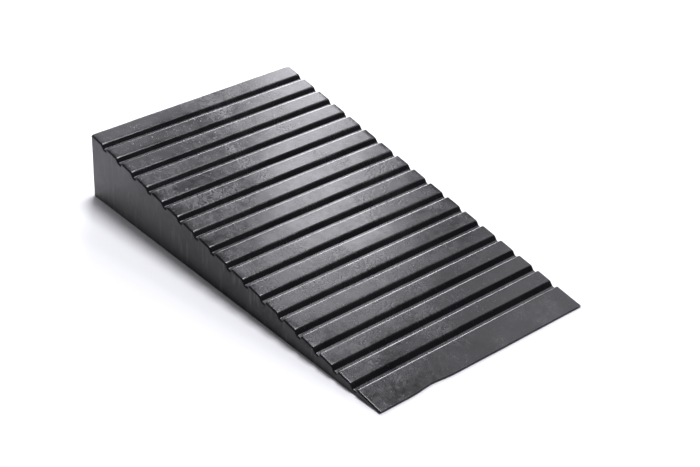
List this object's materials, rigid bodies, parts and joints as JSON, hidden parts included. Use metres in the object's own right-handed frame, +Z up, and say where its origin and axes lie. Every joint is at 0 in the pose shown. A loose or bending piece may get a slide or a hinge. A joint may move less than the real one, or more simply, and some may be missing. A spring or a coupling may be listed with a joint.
{
  "type": "wheel chock",
  "caption": "One-piece black moulded rubber wedge with a low ribbed ramp, for holding or raising a vehicle wheel.",
  "frame": {"origin": "middle of the flat base, at ground level", "axes": "+X down the ramp from the tall heel to the thin toe, +Y across the width, +Z up out of the base"},
  "size_m": [0.44, 0.255, 0.0716],
  "materials": {
    "black_rubber": "moulded black rubber with a low uneven sheen, faint flow marks and scuffs"
  },
  "bodies": {
    "root": {"rubber_wedge": "black_rubber"}
  },
  "joints": []
}
